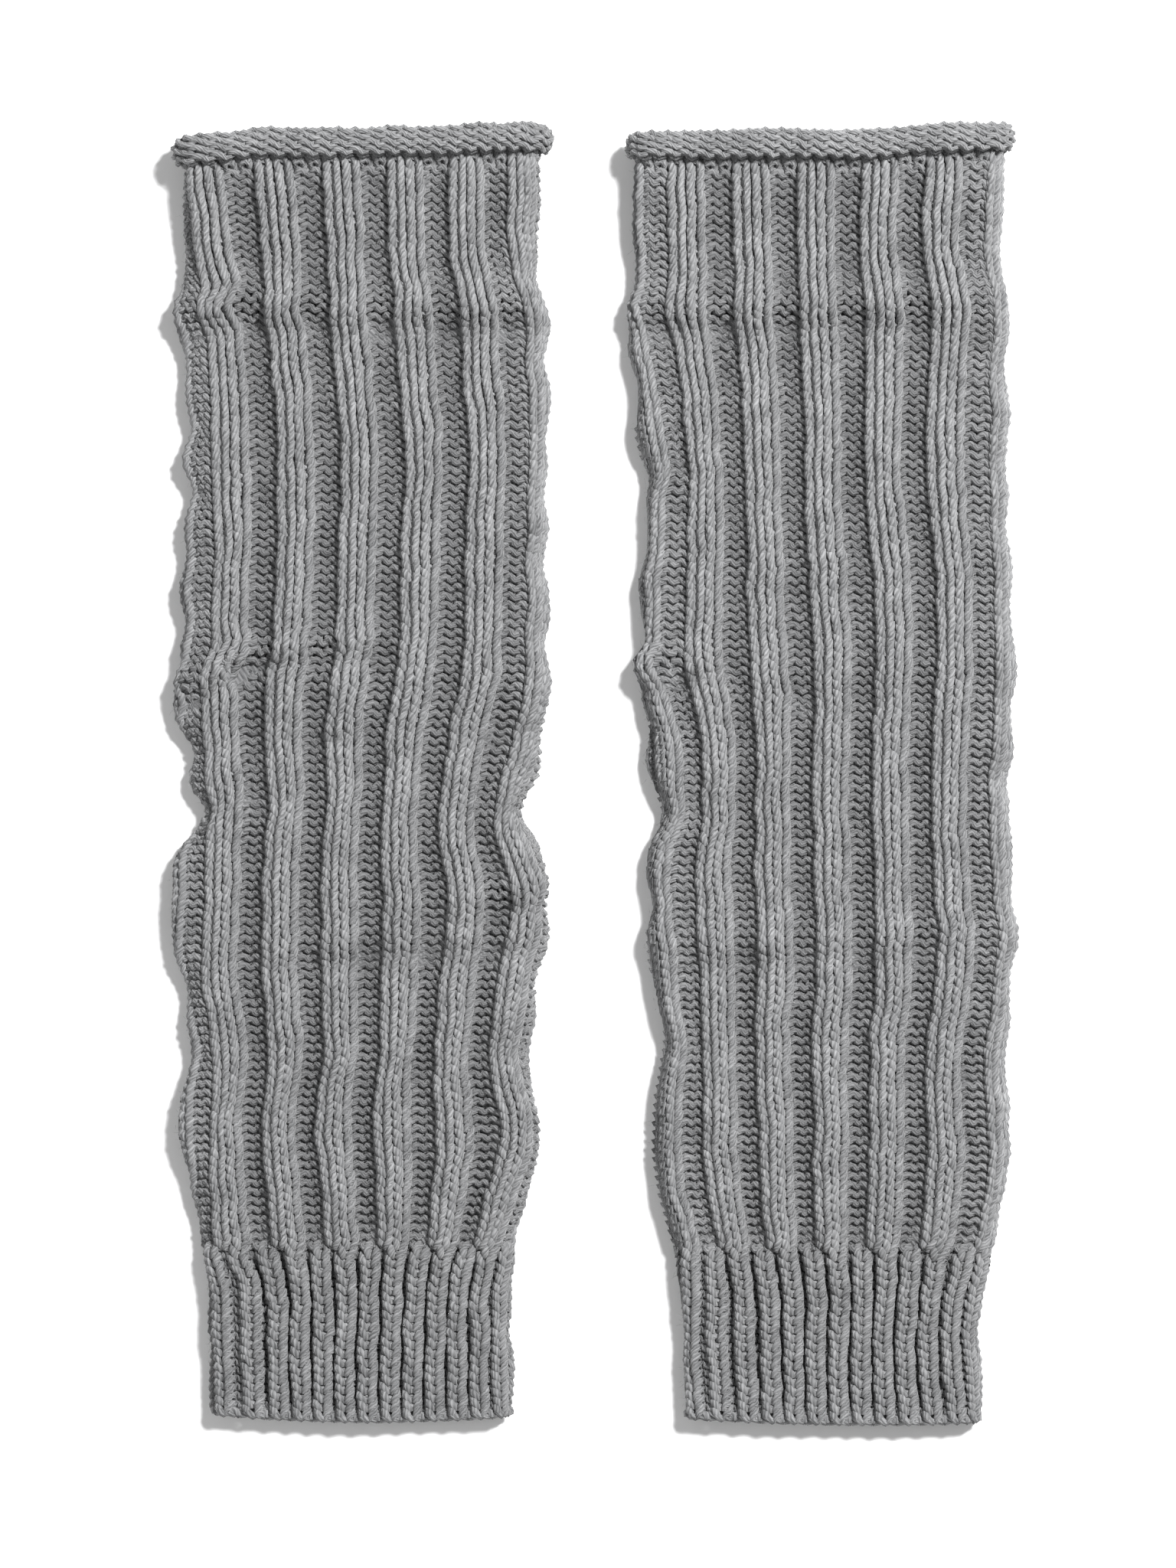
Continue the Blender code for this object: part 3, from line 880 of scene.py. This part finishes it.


def wool_group():
    """Spun wool on a yarn's own length and turn: plies, fibres and the melange of its colours, and painted
    shade where the cloth lies deep.
    """
    group = bpy.data.node_groups.new("spun_wool", "ShaderNodeTree")
    for way, kind, names in (
        ("INPUT", "Vector", ("Along", "Place")),
        ("INPUT", "Float", ("Plies", "Twist", "Painted_shade")),
        ("INPUT", "Color", ("Light", "Dark")),
        ("OUTPUT", "Color", ("Colour",)),
        ("OUTPUT", "Float", ("Height",)),
    ):
        for name in names:
            group.interface.new_socket(name, in_out=way, socket_type=f"NodeSocket{kind}")
    n = Nodes(group)
    given = n.add("NodeGroupInput").outputs
    split = n.add("ShaderNodeSeparateXYZ")
    n.link(given["Along"], split.inputs[0])
    length, turn = split.outputs[0], split.outputs[1]

    wound = n.maths("ADD", turn, n.maths("DIVIDE", length, given["Twist"]))
    ply_phase = n.maths("MULTIPLY", wound, given["Plies"])
    ply = n.maths("SINE", n.maths("MULTIPLY", ply_phase, 2 * math.pi))
    ply = n.maths("ADD", n.maths("MULTIPLY", ply, 0.5), 0.5)

    def stretched(along, round_it):
        join = n.add("ShaderNodeCombineXYZ")
        n.link(n.maths("MULTIPLY", length, along), join.inputs[0])
        n.link(n.maths("MULTIPLY", wound, round_it), join.inputs[1])
        return join.outputs[0]

    fibre = n.noise(stretched(3.0, 30.0), 1.0, 3.0, 0.65)
    streak = n.noise(stretched(1.6, 6.0), 1.0, 2.0)
    fleck = n.noise(stretched(0.8, 1.0), 1.0, 2.0)
    patch = n.noise(given["Place"], 85.0, 2.0)
    tone = n.maths("SUBTRACT", n.maths("MULTIPLY", ply, 0.34), 0.13)
    for part, low, high, share in (
            (fibre, 0.32, 0.68, 0.36),
            (streak, 0.35, 0.65, 0.26),
            (fleck, 0.38, 0.62, 0.17),
            (patch, 0.36, 0.64, 0.15)):
        tone = n.maths("ADD", tone, n.maths("MULTIPLY", n.ramp(part, low, high), share))
    colour = n.mix(tone, given["Dark"], given["Light"])
    # Painted shade: the colour darkens towards near black with the depth in gutters and crease troughs
    colour = n.mix(n.maths("MULTIPLY", given["Painted_shade"], 0.40), colour, PAINTED_GUTTER_SHADE)
    height = n.maths("ADD", n.maths("MULTIPLY", ply, 0.7), n.maths("MULTIPLY", fibre, 0.8))
    out = n.add("NodeGroupOutput")
    n.link(colour, out.inputs["Colour"])
    n.link(height, out.inputs["Height"])
    return group


# Each stretch's material, and how light its wool is: all are one yarn, and the cuff's darker copy is painted
# shade
WOOLS = {"cuff": ("cuff_wool", 0.93), "leg": ("leg_wool", 1.0), "roll": ("roll_wool", 1.0)}


def wool_material(stretch):
    """Wool yarn: soft, matt and faintly shiny at a glancing angle."""
    name, shade = WOOLS[stretch]
    found = bpy.data.materials.get(name)
    if found:
        return found
    wool = settings().wool
    material = bpy.data.materials.new(name)
    material.use_nodes = True
    n = Nodes(material.node_tree)
    shader = material.node_tree.nodes["Principled BSDF"]
    group = n.add("ShaderNodeGroup", node_tree=bpy.data.node_groups.get("spun_wool") or wool_group())
    where = n.add("ShaderNodeUVMap", uv_map="yarn")
    n.link(where.outputs[0], group.inputs["Along"])
    n.link(n.add("ShaderNodeTexCoord").outputs["Object"], group.inputs["Place"])
    # The depth in gutters and creases, which the wool group paints as shade
    deep = n.add("ShaderNodeAttribute", attribute_name="painted_shade")
    n.link(deep.outputs["Fac"], group.inputs["Painted_shade"])
    group.inputs["Plies"].default_value = wool.plies
    group.inputs["Twist"].default_value = wool.twist * 100
    # The shade scales the yarn's colours; below 1 it is painted shade
    group.inputs["Light"].default_value = [c * shade for c in wool.light] + [1.0]
    group.inputs["Dark"].default_value = [c * shade for c in wool.dark] + [1.0]
    n.link(group.outputs["Colour"], shader.inputs["Base Color"])
    relief = n.add("ShaderNodeBump")
    relief.inputs["Strength"].default_value = 0.9
    relief.inputs["Distance"].default_value = 0.30 * MM
    n.link(group.outputs["Height"], relief.inputs["Height"])
    n.link(relief.outputs[0], shader.inputs["Normal"])
    shader.inputs["Roughness"].default_value = 0.88
    shader.inputs["Specular IOR Level"].default_value = 0.25
    shader.inputs["Sheen Weight"].default_value = 0.22
    shader.inputs["Sheen Roughness"].default_value = 0.45
    return material


# ---------------------------------------------------------------- operators

LEG_KINDS = ("knit", "knit", "purl", "purl")
CUFF_KINDS = ("hidden", "knit", "hidden", "knit")
ROLL_KINDS = ("purl", "purl", "purl", "purl")


def row_heights(first, last):
    """Heights of the tube's rows, counted from the cuff's edge."""
    return ROW * (np.arange(first, last) + 0.5)


class LEGWARMER_OT_leg_yarn(Operator):
    """Knits the ribbed legs, in three stretches a warmer"""

    bl_idname = "leg_warmer.leg_yarn"
    bl_label = "Leg stitches"

    def execute(self, context):
        wool = wool_material("leg")
        cuts = np.linspace(CUFF_ROWS, CUFF_ROWS + LEG_ROWS, 4).astype(int)
        for side in SIDES:
            warmer = Warmer(side)
            for name, first, last in zip(("calf", "shin", "knee"), cuts[:-1], cuts[1:]):
                yarn_piece(
                    f"{side}_{name}_stitches", warmer, row_heights(first, last), LEG_STITCHES,
                    LEG_KINDS, (), wool, f"{side}_leg")
        return {"FINISHED"}


class LEGWARMER_OT_cuff_yarn(Operator):
    """Knits the one-by-one ribbed cuffs and their cast-on edges"""

    bl_idname = "leg_warmer.cuff_yarn"
    bl_label = "Cuff stitches"

    def execute(self, context):
        wool = wool_material("cuff")
        for side in SIDES:
            yarn_piece(
                f"{side}_cuff_stitches", Warmer(side), row_heights(0, CUFF_ROWS), CUFF_STITCHES,
                CUFF_KINDS, (0.2,), wool, f"{side}_cuff")
        return {"FINISHED"}


class LEGWARMER_OT_roll_yarn(Operator):
    """Knits the rolled edges, which show the purl side of plain knitting"""

    bl_idname = "leg_warmer.roll_yarn"
    bl_label = "Roll stitches"

    def execute(self, context):
        wool = wool_material("roll")
        heights = TUBE_TOP + ROLL_ROW * (np.arange(ROLL_ROWS) + 0.5)
        for side in SIDES:
            yarn_piece(
                f"{side}_roll_stitches", Warmer(side), heights, ROLL_STITCHES, ROLL_KINDS, (), wool,
                f"{side}_top_roll")
        return {"FINISHED"}


class LEGWARMER_OT_cloth(Operator):
    """Lays the thin shell behind the loops"""

    bl_idname = "leg_warmer.cloth"
    bl_label = "Cloth behind the loops"

    def execute(self, context):
        gap = 0.2  # from one stretch's shell to the next
        for side in SIDES:
            warmer = Warmer(side)
            shell_piece(
                f"{side}_cuff_cloth", warmer, 1.0, CUFF_TOP - gap, 9, -1.0, wool_material("cuff"),
                f"{side}_cuff")
            shell_piece(
                f"{side}_leg_cloth", warmer, CUFF_TOP + gap, TUBE_TOP - gap, 36, -1.0, wool_material("leg"),
                f"{side}_leg")
            shell_piece(
                f"{side}_roll_cloth", warmer, TUBE_TOP + gap, TUBE_TOP + 21.0, 14, 0.2, wool_material("roll"),
                f"{side}_top_roll")
        return {"FINISHED"}


class LEGWARMER_OT_stage(Operator):
    """Builds the floor, the lights and the camera"""

    bl_idname = "leg_warmer.stage"
    bl_label = "Floor, lights and camera"

    def execute(self, context):
        stage = settings().stage
        bpy.ops.mesh.primitive_plane_add(size=8, location=(0, 0, 0))
        floor = context.object
        floor.name = "floor"
        paint = bpy.data.materials.new("pale_floor")
        paint.use_nodes = True
        shader = paint.node_tree.nodes["Principled BSDF"]
        shader.inputs["Base Color"].default_value = (*stage.floor, 1.0)
        shader.inputs["Roughness"].default_value = 0.9
        floor.data.materials.append(paint)

        low, high = (Vector(corner) for corner in CAD_BOX)
        middle = (low + high) / 2
        for name, place, size, power in (
            ("key", (0.96, 0.94, 1.95), 0.40, 31 * stage.key),
            ("back", (-1.2, -0.5, 1.8), 1.6, 3 * stage.key),
        ):
            light = bpy.data.objects.new(name, bpy.data.lights.new(name, "AREA"))
            light.data.size = size
            light.data.energy = power
            light.location = middle + Vector(place)
            light.rotation_euler = (middle - light.location).to_track_quat("-Z", "Y").to_euler()
            context.scene.collection.objects.link(light)

        world = bpy.data.worlds.new("studio")
        world.use_nodes = True
        world.node_tree.nodes["Background"].inputs["Color"].default_value = (1, 1, 1, 1)
        world.node_tree.nodes["Background"].inputs["Strength"].default_value = stage.sky
        context.scene.world = world
        context.scene.view_settings.view_transform = "Standard"

        away = 2.2  # the camera's height
        half_thick = 0.010
        camera = bpy.data.objects.new("camera", bpy.data.cameras.new("camera"))
        camera.data.sensor_fit = "AUTO"
        camera.data.sensor_width = 36.0
        tall = stage.view_width * 4 / 3  # the view is three wide and four tall
        camera.data.lens = camera.data.sensor_width * (away - half_thick) / tall
        camera.location = middle + Vector((-0.9 * MM, -4.9 * MM, away - middle.z))
        camera.rotation_euler = (0, 0, 0)
        context.scene.collection.objects.link(camera)
        context.scene.camera = camera
        return {"FINISHED"}


class LEGWARMER_PT_panel(Panel):
    """Settings and steps of the leg warmers"""

    bl_idname = "LEGWARMER_PT_panel"
    bl_label = "Leg warmers"
    bl_space_type = "VIEW_3D"
    bl_region_type = "UI"
    bl_category = "Leg warmers"

    def draw(self, context):
        for group in ("yarn", "cloth", "wool", "stage"):
            box = self.layout.box()
            box.label(text=group.capitalize())
            values = getattr(settings(), group)
            for name in values.__annotations__:
                box.prop(values, name)
        for step in STEPS:
            self.layout.operator(step.bl_idname)


GROUPS = (YarnSettings, ClothSettings, WoolSettings, StageSettings, LegWarmerSettings)
STEPS = (
    LEGWARMER_OT_stage,
    LEGWARMER_OT_leg_yarn,
    LEGWARMER_OT_cuff_yarn,
    LEGWARMER_OT_roll_yarn,
    LEGWARMER_OT_cloth,
)


def register():
    for thing in (*GROUPS, *STEPS, LEGWARMER_PT_panel):
        bpy.utils.register_class(thing)
    bpy.types.Scene.leg_warmers = PointerProperty(type=LegWarmerSettings)


def unregister():
    del bpy.types.Scene.leg_warmers
    for thing in reversed((*GROUPS, *STEPS, LEGWARMER_PT_panel)):
        bpy.utils.unregister_class(thing)


def main():
    register()
    for step in STEPS:
        module, name = step.bl_idname.split(".")
        getattr(getattr(bpy.ops, module), name)()


if __name__ == "__main__":
    main()
